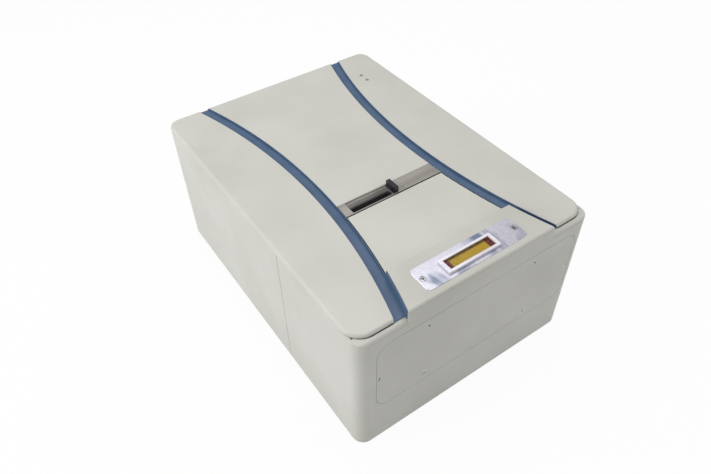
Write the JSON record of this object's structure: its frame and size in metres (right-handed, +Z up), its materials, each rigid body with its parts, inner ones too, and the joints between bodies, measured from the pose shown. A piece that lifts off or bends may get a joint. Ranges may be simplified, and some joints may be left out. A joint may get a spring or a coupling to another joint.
{
  "type": "infrared spectrometer",
  "caption": "Bench-top infrared spectrometer: off-white body with a curved two-tone top, a shuttered sample slot and a small framed display",
  "frame": {"origin": "centre of the footprint, on the table under the rubber feet", "axes": "+X to the right seen from the front, +Y to the rear, +Z up; the display faces -Y"},
  "size_m": [0.35, 0.488, 0.231],
  "materials": {
    "housing_paint": "satin",
    "trim_blue": "satin",
    "slot_metal": "satin",
    "well_metal": "satin",
    "polished_plate": "polished",
    "bezel_white": "gloss",
    "window_clear": "clear",
    "display_amber": "gloss",
    "tab_black": "satin",
    "black_plastic": "satin",
    "screw_steel": "polished",
    "light_grey_lens": "gloss",
    "board_green": "satin",
    "rubber_black": "matte",
    "zinc_sheet": "satin",
    "cast_bench": "satin",
    "machined_mount": "satin",
    "gold_mirror": "polished",
    "splitter_plate": "clear",
    "copper_wire": "satin",
    "element_ceramic": "matte",
    "laser_tube": "satin"
  },
  "bodies": {
    "instrument": {"front_housing": "housing_paint", "rear_housing": "housing_paint", "top_cover": "housing_paint", "front_centre_panel": "housing_paint", "front_access_panel": "housing_paint", "left_trim_strip": "trim_blue", "right_trim_strip": "trim_blue", "slot_bezel_plate": "slot_metal", "bezel_rivet": "slot_metal", "sample_well": "well_metal", "card_guides": "well_metal", "display_plate": "polished_plate", "display_plate_screws": "polished_plate", "display_bezel": "bezel_white", "display_window": "window_clear", "display_glass": "display_amber", "power_inlet": "black_plastic", "switch_frame": "black_plastic", "desiccant_cartridge": "black_plastic", "access_panel_screws": "screw_steel", "rear_panel_screws": "screw_steel", "base_screws": "screw_steel", "foot_screws": "screw_steel", "status_lights": "light_grey_lens", "display_board": "board_green", "status_board": "board_green", "main_board": "board_green", "rubber_feet": "rubber_black", "bench_isolators": "rubber_black", "base_plate": "zinc_sheet", "rear_panel": "zinc_sheet", "usb_port": "zinc_sheet", "inlet_pins": "zinc_sheet", "power_supply": "zinc_sheet", "laser_supply": "zinc_sheet", "board_standoffs": "zinc_sheet", "optical_bench": "cast_bench", "bench_posts": "cast_bench", "slot_frame": "cast_bench", "beamsplitter_mount": "machined_mount", "fixed_mirror_mount": "machined_mount", "carriage_rail": "machined_mount", "laser_clamps": "machined_mount", "laser_fold_mirror": "machined_mount", "laser_detector": "machined_mount", "infrared_detector": "machined_mount", "source_housing": "machined_mount", "voice_coil_magnet": "machined_mount", "collimating_mirror": "gold_mirror", "sample_mirror": "gold_mirror", "detector_mirror": "gold_mirror", "fixed_mirror": "gold_mirror", "beamsplitter": "splitter_plate", "source_element": "element_ceramic", "reference_laser": "laser_tube"},
    "slot_shutter": {"shutter": "tab_black"},
    "scanning_mirror": {"moving_mirror": "gold_mirror", "mirror_carriage": "machined_mount", "voice_coil": "copper_wire"},
    "switch_key": {"switch_rocker": "black_plastic"}
  },
  "joints": [
    {"name": "shutter_slide", "type": "slide", "parent": "instrument", "child": "slot_shutter", "axis": [-1, 0, 0], "range_m": [0, 0.0636]},
    {"name": "mirror_slide", "type": "slide", "parent": "instrument", "child": "scanning_mirror", "axis": [1, 0, 0], "range_m": [-0.004, 0.004]},
    {"name": "power_switch", "type": "hinge", "parent": "instrument", "child": "switch_key", "pos_m": [0.052, 0.2376, 0.053], "axis": [1, 0, 0], "range_deg": [0, 24]}
  ]
}
